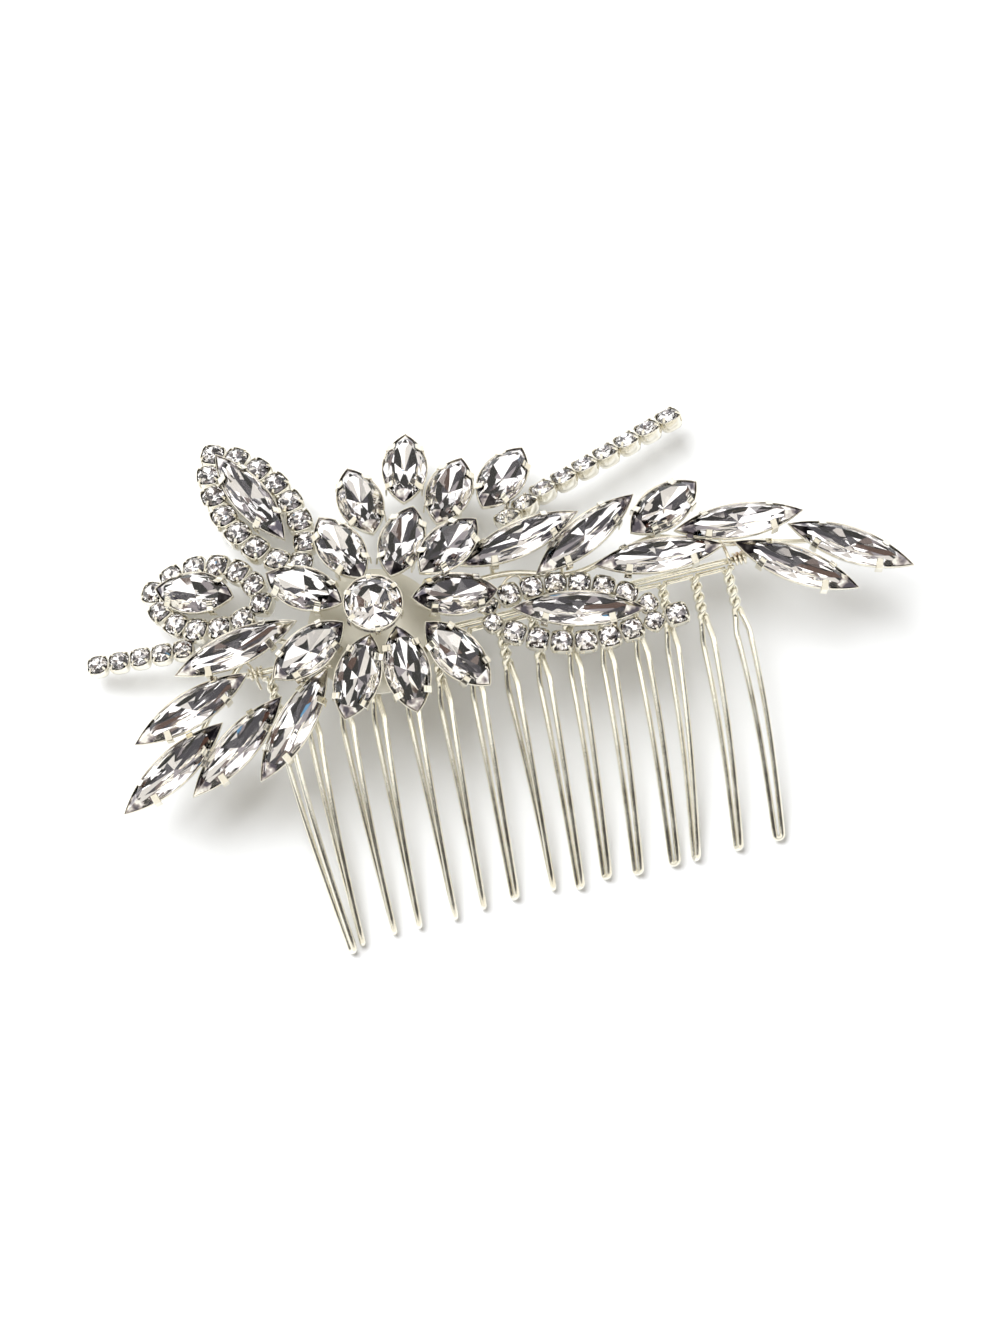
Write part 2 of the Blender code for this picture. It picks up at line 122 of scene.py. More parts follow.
# Reading the CAD meshes: when two sides count as parallel, how deep and wide the flat top of a small
# crystal is, and how far off its neighbours along a chain can be.
PARALLEL = 0.9999
TOP_DEPTH = 0.3
TOP_REACH = 1.1
NEIGHBOUR_REACH = 3.4

# Wires: the steps from one given point to the next, and how a wire's end is rounded, as shares of its
# radius.
LINE_STEPS = 8
END_REACH = 0.4
END_SHARE = 0.55

# Comb. Shares run from 0 at the spine to 1 at a tooth's tip.
SPINE_RADIUS = 0.4
WIRE_RADIUS = 0.35
WIRE_BEHIND_SPINE = 0.82
WIRE_OVERHANG = 0.8
TOOTH_COUNT = 15
TOOTH_PITCH = 3.87
TOOTH_REACH = 32.2
UNEVEN_REACHES = {0: 33.2, 1: 32.6, 5: 31.8, 6: 31.6, 7: 31.6, 9: 31.8}
TIP_HEIGHT = 0.7
NECK_SHARE = 0.16
NECK_TURNS = 2
NECK_STEPS = 32
STRAND_OFFSET = 0.36
OPENING_SHARE = 0.09
LEG_GAP_TOP = 1.6
LEG_GAP_TIP = 0.9
LEG_STEPS = 24
LEG_STEP_GROWTH = 1.15
TIP_SHARE = 0.985
TIP_BEND_SHARE = 0.012
TIP_STEPS = 8
TOOTH_ARCH = 0.6
TOOTH_BOW = 0.08
STRAIGHT_TOOTH = 6
TOOTH_LEAN = (2.1, -0.5, -0.5, -1.4, -1, -1.4, -1.5, -0.8, -1.6, -2.2, -2.4, -1.9, -3.2, -2, -1)
LOOP_TURNS_TOP = (40,) * 14 + (5,)
LOOP_TURNS_TIP = (65, 90, 90, 90, 90, 90, 60, 90, 60, 47, 39, 27, 64, 53, 5)
BINDING_RADIUS = 0.19
BINDING_PITCH = 0.5
BINDING_CLEAR = 0.03
BINDING_STEPS = 20

# Sprays. A branch meets a crystal's back at its foot, and a stem can run between the roots, which are
# behind the crystals' inner tips: each is a share of the crystal's length from its middle.
STEM_START = 6.5
STEM_RADIUS = 0.36
BRANCH_RADIUS = 0.3
BRANCH_SAG = Vector((0, 0, -0.3))
FOOT_SHARE = -0.24
FOOT_HEIGHT = -CUP_DEPTH + 0.1
ROOT_SHARE = -0.46
ROOT_HEIGHT = -CUP_DEPTH - 0.2

# The ornament's rear is tilted down by this much about the spine. Thin wires that hold it on and show
# between the crystals: (name, radius, points from the spine's middle, in the ornament's tilted frame).
ORNAMENT_TILT = 12
LOOSE_WIRES = (
    (
        "wire_curl",
        0.17,
        ((0.4, 0.7, 0.5), (0.8, 2.2, 1.2), (2.1, 3.5, 1.8), (3.5, 3.3, 1.8), (4.1, 0.8, 0.6)),
    ),
    (
        "wire_tie_right",
        0.22,
        ((27.2, 2.6, 0.5), (27.3, 1.7, 0.85), (27.5, 0.3, 0.8), (27.6, -0.6, 0.3)),
    ),
    (
        "wire_tie_left",
        0.17,
        ((-29.3, 1.4, 0.4), (-28.9, 0.5, 0.75), (-28.7, -0.7, 0.4), (-28.4, -1.9, -0.3)),
    ),
)

# Studio. The crystals mirror a room of patches, each with the last of these tones whose share is under
# the patch's random value, and a few small blue ones, below a white ceiling. The metal mirrors a smooth
# room, pale but for a bright band and a dark band in front of the teeth, each between two leans: a
# direction's Y over its Z. Plain surfaces get an even light and one soft lamp. The renderer gives a ray
# that has bounced once a depth of 2. Sizes are in metres.
ROOM_TONES = (
    (0.0, (0.045, 0.042, 0.055)),
    (0.18, (0.11, 0.058, 0.042)),
    (0.27, (0.23, 0.18, 0.165)),
    (0.38, (0.37, 0.34, 0.36)),
    (0.5, (0.62, 0.6, 0.57)),
    (0.65, (0.88, 0.85, 0.8)),
    (0.85, (1.9, 1.9, 1.9)),
)
ROOM_PATCHES = 2.6
ACCENT = (0.12, 0.35, 0.6)
ACCENT_FROM = 0.995
ACCENT_PATCHES = 22.0
CEILING = (1.7, 1.7, 1.7)
CEILING_FROM = 0.87
PALE_SIDE = (1.12, 1.09, 1.02)
BRIGHT_SIDE = (1.75, 1.75, 1.7)
BRIGHT_SIDE_LEANS = (-0.33, -0.1)
DARK_SIDE = (0.06, 0.056, 0.056)
DARK_SIDE_LEANS = (-0.75, -0.33)
FIRST_BOUNCE = (1.5, 2.5)
NO_LIMIT = 2.0
EVEN_LIGHT = (0.42, 0.407, 0.38)
LAMP_PLACE = Vector((-0.3, 0.43, 0.74))
LAMP_SIDE = 0.74
LAMP_POWER = 13.0
LAMP_COLOR = (0.945, 0.97, 1.0)
FLOOR_HALF = 3.0

# Camera, in the ornament's tilted frame. Its focal length is in widths of the picture.
CAMERA_TARGET = Vector((-1.0293, -5.1277, -2.1099))
CAMERA_DISTANCE = 600.0
CAMERA_ELEVATION = radians(68)
CAMERA_AZIMUTH = radians(14.5)
FOCAL_LENGTH = 5.22
SENSOR_WIDTH = 36

PETALS = [f"petal_inner_{i}" for i in range(1, 10)] + [f"petal_outer_{i}" for i in range(1, 5)]
LEFT_SPRAY = [f"left_spray_{i}" for i in range(1, 6)]
RIGHT_SPRAY = [f"right_spray_{i}" for i in range(1, 8)]
LEAVES = ["leaf_front", "leaf_rear", "leaf_side"]
CHAINS = [f"{leaf}_border_chain" for leaf in LEAVES] + ["strip_chain_rear", "strip_chain_side"]
BINDINGS = (("left", 3, False), ("middle_left", 3, True), ("middle_right", 3, True), ("right", 3, False))


def middle_of(node):
    low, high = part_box(node)
    return (low + high) / 2 / MM


SPINE = middle_of("comb_spine_wire")
ORNAMENT = Matrix.Translation(SPINE) @ Matrix.Rotation(radians(-ORNAMENT_TILT), 4, "X")


# Materials.


def new_material(name):
    made = bpy.data.materials.new(name)
    made.use_nodes = True
    nodes = made.node_tree.nodes
    return made, nodes, made.node_tree.links, nodes["Principled BSDF"]


def noise(nodes, links, scale, detail):
    """Noise over the object's own coordinates, at this many cells per metre."""
    place = nodes.new("ShaderNodeTexCoord")
    texture = nodes.new("ShaderNodeTexNoise")
    texture.inputs["Scale"].default_value = scale
    texture.inputs["Detail"].default_value = detail
    links.new(place.outputs["Object"], texture.inputs["Vector"])
    return texture.outputs["Fac"]


def ramp(nodes, links, value, stops):
    made = nodes.new("ShaderNodeValToRGB")
    elements = made.color_ramp.elements
    while len(elements) < len(stops):
        elements.new(0.5)
    for element, (position, color) in zip(elements, stops):
        element.position = position
        element.color = (*color, 1)
    links.new(value, made.inputs["Fac"])
    return made.outputs["Color"]


def bump(nodes, links, height, shader, distance):
    made = nodes.new("ShaderNodeBump")
    made.inputs["Distance"].default_value = distance
    made.inputs["Strength"].default_value = 1.0
    links.new(height, made.inputs["Height"])
    links.new(made.outputs["Normal"], shader.inputs["Normal"])


def plated(name, stops, roughness, ripple, grain=1500):
    """Bright plated metal: its colour and gloss drift a little, over a faintly rippled surface."""
    made, nodes, links, shader = new_material(name)
    shader.inputs["Metallic"].default_value = 1.0
    drift = noise(nodes, links, 420, 4)
    links.new(ramp(nodes, links, drift, stops), shader.inputs["Base Color"])
    low, high = roughness
    gloss = ramp(nodes, links, drift, ((0.3, (low,) * 3), (0.7, (high,) * 3)))
    links.new(gloss, shader.inputs["Roughness"])
    bump(nodes, links, noise(nodes, links, grain, 2), shader, ripple)
    return made


def cut_glass():
    """Clear crystal, with faint smears on its polish."""
    made, nodes, links, shader = new_material("cut_glass")
    shader.inputs["Base Color"].default_value = (0.985, 0.98, 0.97, 1)
    shader.inputs["Transmission Weight"].default_value = 1.0
    shader.inputs["IOR"].default_value = 1.57
    smear = noise(nodes, links, 900, 3)
    gloss = ramp(nodes, links, smear, ((0.5, (0.0,) * 3), (0.8, (0.015,) * 3)))
    links.new(gloss, shader.inputs["Roughness"])
    return made


def foil_and_painted_facets(name, scale, stops):
    """A mirror on some facets of a crystal, its tone changing in patches. It is real foil where its
    tones are pale, and its dark tones are painted dark facets.
    """
    made, nodes, links, shader = new_material(name)
    shader.inputs["Metallic"].default_value = 1.0
    tone = noise(nodes, links, scale, 2)
    links.new(ramp(nodes, links, tone, stops), shader.inputs["Base Color"])
    shader.inputs["Roughness"].default_value = 0.01
    return made


SILVER_TONES = ((0.3, (0.80, 0.755, 0.64)), (0.7, (0.90, 0.875, 0.79)))
WIRE_TONES = ((0.3, (0.84, 0.8, 0.68)), (0.7, (0.92, 0.9, 0.81)))
COPPERY_TONES = ((0.36, (0.62, 0.42, 0.28)), (0.46, (0.91, 0.86, 0.74)))
PLATE_TONES = ((0.3, (0.83, 0.80, 0.71)), (0.7, (0.88, 0.86, 0.78)))
FOIL_TONES = ((0.35, (0.86, 0.84, 0.85)), (0.65, (0.95, 0.93, 0.91)))
# Tip tones: the crowns' tip facets get a mirror whose dark, grey and pale patches are painted glints and
# dark facets.
TIP_PAINTED_GLINT_TONES = ((0.4, (0.1, 0.09, 0.11)), (0.5, (0.42, 0.38, 0.38)), (0.6, (0.9, 0.88, 0.85)))
# Small crystals: their foil is real, but its dark patches are painted dark facets.
CHATON_FOIL_AND_PAINTED_DARK_TONES = ((0.37, (0.1, 0.08, 0.075)), (0.43, (1.0, 0.985, 0.975)))
SILVER = plated("silver_plate", SILVER_TONES, (0.08, 0.2), 0.00001)
WIRE = plated("wire_plate", WIRE_TONES, (0.12, 0.2), 0.000006, grain=6500)
COPPERY = plated("binding_wire", COPPERY_TONES, (0.15, 0.25), 0.00001)
PLATE = plated("back_plate", PLATE_TONES, (0.45, 0.55), 0.00002)
GLASS = cut_glass()
FOIL = foil_and_painted_facets("crystal_foil", 260, FOIL_TONES)
# Painted glints and dark facets on the crowns' tips.
TIP_PAINTED_GLINTS = foil_and_painted_facets("crystal_tip_painted_glints", 700, TIP_PAINTED_GLINT_TONES)
# The small crystals' foil, with painted dark facets.
CHATON_FOIL_AND_PAINTED_DARK = foil_and_painted_facets("small_crystal_foil_painted_dark_facets", 1600, CHATON_FOIL_AND_PAINTED_DARK_TONES)


# Pieces.


class Shape:
    """Points and faces gathered from many small parts, each face with the index of its material."""

    def __init__(self):
        self.points = []
        self.faces = []
        self.finish = []

    def add(self, points, faces, placement=None, finish=None):
        base = len(self.points)
        place = placement or Matrix.Identity(4)
        self.points += [place @ Vector(p) for p in points]
        self.faces += [tuple(base + i for i in face) for face in faces]
        self.finish += finish or [0] * len(faces)

    def mesh(self, name, materials, smooth):
        made = bpy.data.meshes.new(name)
        made.from_pydata([p * MM for p in self.points], [], self.faces)
        for finish in materials:
            made.materials.append(finish)
        made.polygons.foreach_set("material_index", self.finish)
        edit = bmesh.new()
        edit.from_mesh(made)
        bmesh.ops.recalc_face_normals(edit, faces=edit.faces)
        edit.to_mesh(made)
        edit.free()
        if smooth:
            made.shade_smooth()
            made.set_sharp_from_angle(angle=radians(smooth))
        return made


def piece(name, shape, materials, nodes=(), smooth=None):
    """One piece of the comb, which stands for these CAD nodes. Edges that turn by less than smooth, in
    degrees, are shaded soft, and with none given every facet stays flat."""
    made = bpy.data.objects.new(name, shape.mesh(name, materials, smooth))
    bpy.context.scene.collection.objects.link(made)
    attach(made, "root")
    if nodes:
        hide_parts(*nodes)


def rings(loops):
    """Faces that join equal loops of points in turn, ended by flat caps."""
    size = len(loops[0])
    points = [p for loop in loops for p in loop]
    last = len(points) - size
    faces = []
    for a in range(0, last, size):
        b = a + size
        for j in range(size):
            k = (j + 1) % size
            faces.append((a + j, a + k, b + k, b + j))
    faces.append(tuple(reversed(range(size))))
    faces.append(tuple(range(last, len(points))))
    return points, faces


def tube(path, radius, sides):
    """A round bar along a path, whose rings turn as little as they can from one point to the next."""
    path = [Vector(p) for p in path]
    steps = [(b - a).normalized() for a, b in zip(path, path[1:])]
    across = steps[0].orthogonal().normalized()
    loops = []
    for i, point in enumerate(path):
        before = steps[max(i - 1, 0)]
        after = steps[min(i, len(steps) - 1)]
        along = (before + after).normalized()
        across = (across - along * across.dot(along)).normalized()
        up = along.cross(across)
        turn = [2 * pi * j / sides for j in range(sides)]
        loops.append([point + (across * cos(a) + up * sin(a)) * radius for a in turn])
    loops.insert(0, shrunk(loops[0], path[0], -steps[0] * radius * END_REACH))
    loops.append(shrunk(loops[-1], path[-1], steps[-1] * radius * END_REACH))
    return rings(loops)


def shrunk(loop, middle, shift):
    """A smaller loop beyond the end of a bar, which rounds that end."""
    return [middle + (p - middle) * END_SHARE + shift for p in loop]


def smooth_line(points):
    """A smooth line through points."""
    points = [Vector(p) for p in points]
    padded = [2 * points[0] - points[1], *points, 2 * points[-1] - points[-2]]
    line = []
    for a, b, c, d in zip(padded, padded[1:], padded[2:], padded[3:]):
        for i in range(LINE_STEPS):
            t = i / LINE_STEPS
            line.append(0.5 * (2 * b + (c - a) * t + (2 * a - 5 * b + 4 * c - d) * t**2
                               + (3 * b - a - 3 * c + d) * t**3))
    return line + [points[-1]]


# Places, read from the frame's own meshes.


def flat_sides(data):
    """The mesh's flat sides as [outward normal, area], parallel ones counted together."""
    sides = []
    for face in data.polygons:
        for side in sides:
            if side[0].dot(face.normal) > PARALLEL:
                side[1] += face.area
                break
        else:
            sides.append([face.normal.copy(), face.area])
    return sides


def widest_side(data):
    return max(flat_sides(data), key=lambda side: side[1])[0]


def matrix_of(origin, along, up):
    along = (along - up * along.dot(up)).normalized()
    turn = Matrix((along, up.cross(along), up)).transposed().to_4x4()
    return Matrix.Translation(origin) @ turn


def node_points(node):
    return [v.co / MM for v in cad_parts[node].data.vertices]


def stone_placement(node):
    """A crystal's own frame: its tips on local X, its table facing local Z, its girdle at z = 0."""
    points = node_points(node)
    middle = sum(points, Vector()) / len(points)
    tip = max(points, key=lambda p: (p - middle).length)
    other = max(points, key=lambda p: (p - tip).length)
    outward, inward = (tip, other) if is_outer(tip, other) else (other, tip)
    return matrix_of((tip + other) / 2, outward - inward, widest_side(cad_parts[node].data))


def is_outer(tip, other):
    """Whether this tip is the farther one from the flower's middle."""
    flower = middle_of("flower_center_cup")
    return (tip - flower).length > (other - flower).length


def stone_size(node):
    """Length and width of a pointed oval crystal, as the nearer of the two stock sizes."""
    points = node_points(node)
    length = max((a - b).length for a in points for b in points)
    return min((LONG_STONE, PETAL_STONE), key=lambda size: abs(size[0] - length))


def chaton_tops(data, up):
    """The middles of the flat tops of a cup chain's crystals, each from the faces that lie on it."""
    highest = max(up.dot(face.center) for face in data.polygons)
    tops = []
    for face in data.polygons:
        if face.normal.dot(up) < PARALLEL or up.dot(face.center) < highest - TOP_DEPTH * MM:
            continue
        for top in tops:
            if (top[0] / top[1] - face.center).length < TOP_REACH * MM:
                top[0] += face.center * face.area
                top[1] += face.area
                break
        else:
            tops.append([face.center * face.area, face.area])
    return [total / area / MM for total, area in tops]


def chaton_placements(node):
    """The frame of each crystal in a cup chain: local X runs along the chain, local Z out of the cup."""
    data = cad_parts[node].data
    up = -widest_side(data)
    tops = chaton_tops(data, up)
    placements = []
    for top in tops:
        near = sorted((other for other in tops if other != top), key=lambda other: (other - top).length)
        first, second = near[0] - top, near[1] - top
        is_between = first.dot(second) < 0 and second.length < NEIGHBOUR_REACH
        along = first - second if is_between else first
        size = first.length / CHATON_PITCH
        placements.append(matrix_of(top - up * CHATON_TOP, along, up) @ Matrix.Scale(size, 4))
    return placements


# Cut crystals.


def navette_arc(length, width):
    """Radius and half angle of each of the two arcs that make a pointed oval."""
    radius = (length**2 / 4 + width**2 / 4) / width
    return radius, asin(length / 2 / radius)


def navette(length, width, share):
    """A point of a pointed oval: share runs from 0 at the +X tip to 1 at the -X tip and back to 2."""
    radius, half_angle = navette_arc(length, width)
    angle = half_angle * (1 - 2 * (share % 1))
    x, y = radius * sin(angle), radius * cos(angle) - radius + width / 2
    return (x, y) if share % 2 < 1 else (-x, -y)


def circle(radius, share):
    return radius * cos(pi * share), radius * sin(pi * share)


def brilliant(outline, table, crown, pavilion, sides=CUT_SIDES, painted_tips=False):
    """A brilliant cut over any outline: table, stars, kites and halves, girdle, and pavilion.

    Faces of the crown get material 0 and faces of the pavilion material 1; the crown faces that meet
    at the two tips get material 2, painted glints and dark facets, when the tips are painted."""
    ring = [outline(i / sides) for i in range(2 * sides)]
    points = []

    def level(indices, share_x, share_y, z):
        start = len(points)
        points.extend((ring[i][0] * share_x, ring[i][1] * share_y, z) for i in indices)
        return start

    every = range(2 * sides)
    mains = every[::2]
    halves = every[1::2]
    share_x, share_y = table
    star_x, star_y = (1 + share_x) / 2 + STAR_SHIFT, (1 + share_y) / 2 + STAR_SHIFT
    t = level(mains, share_x, share_y, crown)
    m = level(halves, star_x, star_y, crown * STAR_LEVEL)
    g = level(every, 1, 1, GIRDLE_HALF)
    b = level(every, 1, 1, -GIRDLE_HALF)
    q = level(halves, HALVES_SHARE, HALVES_SHARE, -pavilion * HALVES_LEVEL)
    culet = len(points)
    points.append((0, 0, -pavilion))
    faces = [tuple(t + i for i in range(sides))]
    finish = [0]
    lower = []
    for i in range(sides):
        starts_at_tip = painted_tips and i % (sides // 2) == 0
        ends_at_tip = painted_tips and (i + 1) % (sides // 2) == 0
        j = (i + 1) % sides
        k = (i - 1) % sides
        g0, g1, g2 = 2 * i, 2 * i + 1, (2 * i + 2) % (2 * sides)
        faces.append((t + i, m + i, t + j))
        faces.append((t + i, m + k, g + g0, m + i))
        faces.append((m + i, g + g0, g + g1))
        faces.append((m + i, g + g1, g + g2))
        faces.append((g + g0, b + g0, b + g1, g + g1))
        faces.append((g + g1, b + g1, b + g2, g + g2))
        finish += [0, 2 * starts_at_tip, 2 * starts_at_tip, 2 * ends_at_tip, 0, 0]
        lower.append((culet, q + i, b + g0, q + k))
        lower.append((q + i, b + g1, b + g0))
        lower.append((q + i, b + g2, b + g1))
    return points, faces + lower, finish + [1] * len(lower)


def navette_stone(size):
    def outline(share):
        return navette(*size, share)

    # The facets at the tips get painted glints and dark facets.
    return brilliant(outline, TABLE_SHARE, CROWN_HEIGHT, PAVILION_DEPTH, painted_tips=True)


def round_stone(radius, table, crown, pavilion, sides=CUT_SIDES):
    def outline(share):
        return circle(radius, share)

    return brilliant(outline, (table, table), crown, pavilion, sides=sides)


# Settings.


def navette_loop(size, margin, z, share=1.0):
    steps = [i / CUP_STEPS for i in range(2 * CUP_STEPS)]
    points = [navette(size[0] + 2 * margin, size[1] + 2 * margin, s) for s in steps]
    return [Vector((x * share, y * share, z)) for x, y in points]


def navette_cup(size):
    """An open setting round a pointed oval crystal: thin walls, a rounded rim and a closed back."""
    inner = CUP_GAP
    outer = CUP_GAP + CUP_WALL
    return rings([
        navette_loop(size, inner, CUP_FLOOR, CUP_BASE_SHARE - 0.08),
        navette_loop(size, inner, -0.5, 0.97),
        navette_loop(size, inner, CUP_RIM - 0.05),
        navette_loop(size, inner + 0.04, CUP_RIM),
        navette_loop(size, outer - 0.04, CUP_RIM),
        navette_loop(size, outer, CUP_RIM - 0.05),
        navette_loop(size, outer, -0.25, 0.995),
        navette_loop(size, outer, -CUP_DEPTH + 0.08, CUP_BASE_SHARE),
        navette_loop(size, outer, -CUP_DEPTH, CUP_BASE_SHARE - 0.03),
    ])


def strip_prong(path, width, thickness, taper=PRONG_TAPER):
    """A bent strip with rounded edges, along points in its local XZ plane (x inward, z up)."""
    loops = []
    count = len(path)
    for i, (x, z) in enumerate(path):
        before = Vector(path[max(i - 1, 0)])
        after = Vector(path[min(i + 1, count - 1)])
        along = (after - before).normalized()
        out = Vector((-along.y, along.x))
        share = 1 - (1 - taper) * i / (count - 1)
        half = width / 2 * share
        soft = thickness * 0.35
        section = (
            (-half, soft), (-half + soft, 0), (half - soft, 0), (half, soft),
            (half, thickness - soft), (half - soft, thickness),
            (-half + soft, thickness), (-half, thickness - soft),
        )
        loops.append([Vector((x + out.x * t, s, z + out.y * t)) for s, t in section])
    return rings(loops)


def prong_frames(size):
    """Frames of the four prongs: origin on the girdle's edge, local X inward."""
    frames = []
    for share in (*PRONG_PLACES, *(1 + place for place in PRONG_PLACES)):
        x, y = navette(size[0] + 2 * CUP_GAP, size[1] + 2 * CUP_GAP, share)
        inward = Vector((-x * 0.12, -y, 0)).normalized()
        side = Vector((0, 0, 1)).cross(inward)
        turn = Matrix((inward, side, Vector((0, 0, 1)))).transposed().to_4x4()
        frames.append(Matrix.Translation((x, y, 0)) @ turn)
    return frames


def round_frames(count, radius, first_turn):
    """Frames of prongs at equal steps round a circle: origin on the circle, local X inward."""
    frames = []
    for i in range(count):
        turn = Matrix.Rotation(2 * pi * (i + first_turn) / count, 4, "Z")
        frames.append(turn @ Matrix.Translation((radius, 0, 0)) @ Matrix.Rotation(pi, 4, "Z"))
    return frames


def navette_prong(size):
    """A prong that climbs a cup's wall and lies along the crown of its crystal."""
    run = size[1] / 2 * (1 - TABLE_SHARE[1])
    rise = (CROWN_HEIGHT - GIRDLE_HALF) / run

    def crown(inward):
        return GIRDLE_HALF + rise * inward + PRONG_CLEAR

    path = [(-CUP_WALL, -0.9), (-CUP_WALL, 0.0), (-CUP_WALL + 0.02, CUP_RIM), (0.03, crown(0.08) + 0.06)]
    path += [(PRONG_REACH * s, crown(PRONG_REACH * s)) for s in (0.35, 0.7, 0.93)]
    path += [(PRONG_REACH, crown(PRONG_REACH) - 0.03)]
    return strip_prong(path, PRONG_WIDTH, PRONG_THICKNESS)


def build_setting(name, *cup_nodes):
    """A pointed oval crystal and the setting that holds it."""
    node = f"stone_{name}"
    size = stone_size(node)
    placement = stone_placement(node)
    stone = Shape()
    points, faces, finish = navette_stone(size)
    stone.add(points, faces, placement, finish)
    piece(f"crystal_{name}", stone, (GLASS, FOIL, TIP_PAINTED_GLINTS), [node])
    setting = Shape()
    setting.add(*navette_cup(size), placement)
    prong = navette_prong(size)
    for at in prong_frames(size):
        setting.add(*prong, placement @ at)
    piece(f"setting_{name}", setting, (SILVER,), cup_nodes, smooth=40)


# Flower centre.


def turned(profile, sides):
    """A profile of (radius, height) turned about Z."""
    loops = []
    for radius, z in profile:
        loops.append([Vector((*circle(radius, 2 * i / sides), z)) for i in range(sides)])
    return rings(loops)


def build_center(placement):
    """The round crystal in the middle of the flower, and its cup and prongs."""
    stone = Shape()
    points, faces, finish = round_stone(CENTER_RADIUS, CENTER_TABLE, CENTER_CROWN, CENTER_PAVILION)
    stone.add(points, faces, placement, finish)
    piece("crystal_flower_center", stone, (GLASS, FOIL), ["stone_flower_center"])
    cup = Shape()
    cup.add(*turned(CENTER_CUP_PROFILE, 48), placement)
    prong = strip_prong(CENTER_PRONG_PATH, CENTER_PRONG_WIDTH, CENTER_PRONG_THICKNESS)
    for at in round_frames(CENTER_PRONGS, CENTER_PRONG_RADIUS, CENTER_PRONG_START):
        cup.add(*prong, placement @ at)
    piece("setting_flower_center", cup, (SILVER,), ["flower_center_cup"], smooth=40)


def build_back_plate(center):
    """A low dome under the petals: a pressed disc with a soft edge, square to the centre crystal."""
    along, _, up, origin = (column.to_3d() for column in center.col)
    drop = (origin - middle_of("flower_back_plate")).dot(up)
    plate = Shape()
    plate.add(*turned(PLATE_PROFILE, 72), matrix_of(origin - up * drop, along, up))
    piece("back_plate", plate, (PLATE,), ["flower_back_plate"], smooth=50)


# Cup chain.


def squarish_loop(half, z):
    """A square with well rounded corners."""
    power = CHATON_SQUARENESS
    points = []
    for i in range(CHATON_CUP_STEPS):
        angle = 2 * pi * i / CHATON_CUP_STEPS
        c, s = cos(angle), sin(angle)
        reach = half / (abs(c) ** power + abs(s) ** power) ** (1 / power)
        points.append(Vector((c * reach, s * reach, z)))
    return points


def build_chain(node):
    """All the crystals of a chain as one piece, and their cups and claws as another."""
    crystals = Shape()
    metal = Shape()
    cup = rings([squarish_loop(half, z) for half, z in CHATON_CUP_PROFILE])
    claw = strip_prong(CLAW_PATH, CLAW_WIDTH, CLAW_THICKNESS, CLAW_TAPER)
    points, faces, finish = round_stone(
        CHATON_RADIUS, CHATON_TABLE, CHATON_CROWN, CHATON_PAVILION, CHATON_SIDES)
    for number, placement in enumerate(chaton_placements(node)):
        turn = Matrix.Rotation(radians(CHATON_TURN * number), 4, "Z")
        crystals.add(points, faces, placement @ turn, finish)
        metal.add(*cup, placement)
        for at in round_frames(CLAWS, CLAW_RADIUS, 0.5):
            metal.add(*claw, placement @ at)
    name = node.replace("_chain", "")
    # The small crystals' foil carries painted dark facets.
    piece(f"{name}_crystals", crystals, (GLASS, CHATON_FOIL_AND_PAINTED_DARK), [node])
    piece(f"{name}_cups", metal, (SILVER,), smooth=40)


# Comb.


def tooth_axis(index, share):
    """A tooth's middle line, from the spine at 0 to the tip at 1."""
    reach = UNEVEN_REACHES.get(index, TOOTH_REACH)
    x = (index - (TOOTH_COUNT - 1) / 2) * TOOTH_PITCH + TOOTH_LEAN[index] * share
    y = -WIRE_BEHIND_SPINE - (reach - WIRE_BEHIND_SPINE - WIRE_RADIUS) * share
    drop = (SPINE.z - TIP_HEIGHT) * share
    bend = sin(pi * share)
    return SPINE + Vector((x + TOOTH_BOW * (index - STRAIGHT_TOOTH) * bend, y, TOOTH_ARCH * bend - drop))


def strand_point(index, share, side, gap):
    """A point of one of a tooth's two strands, which twist round its middle line."""
    turn_top = LOOP_TURNS_TOP[index]
    turn_tip = LOOP_TURNS_TIP[index]
    neck = min(share / NECK_SHARE, 1)
    leg = max(share - NECK_SHARE, 0) / (1 - NECK_SHARE)
    turn = radians(neck * (360 * NECK_TURNS + turn_top) + leg * (turn_tip - turn_top))
    reach = Vector((cos(turn), 0, sin(turn))) * gap * side
    return tooth_axis(index, share) + reach


def leg_gap(share):
    """Half the distance between a tooth's two strands at this share of its length."""
    if share < NECK_SHARE:
        return STRAND_OFFSET
    opened = min((share - NECK_SHARE) / OPENING_SHARE, 1)
    soft = opened * opened * (3 - 2 * opened)
    leg = (share - NECK_SHARE) / (1 - NECK_SHARE)
    full = LEG_GAP_TOP / 2 + (LEG_GAP_TIP - LEG_GAP_TOP) / 2 * leg
    return STRAND_OFFSET + (full - STRAND_OFFSET) * soft


def tooth(index):
    """The wire's path down one strand of a tooth, round its tip, and up the other strand."""
    neck = [NECK_SHARE * i / NECK_STEPS for i in range(NECK_STEPS)]
    growing = [(i / LEG_STEPS) ** LEG_STEP_GROWTH for i in range(LEG_STEPS + 1)]
    down = neck + [NECK_SHARE + (TIP_SHARE - NECK_SHARE) * step for step in growing]
    path = [strand_point(index, s, -1, leg_gap(s)) for s in down]
    end_gap = leg_gap(TIP_SHARE)
    for i in range(1, TIP_STEPS):
        angle = pi * i / TIP_STEPS
        share = TIP_SHARE + TIP_BEND_SHARE * sin(angle)
        path.append(strand_point(index, share, 1, -end_gap * cos(angle)))
    return path + [strand_point(index, s, 1, leg_gap(s)) for s in reversed(down)]


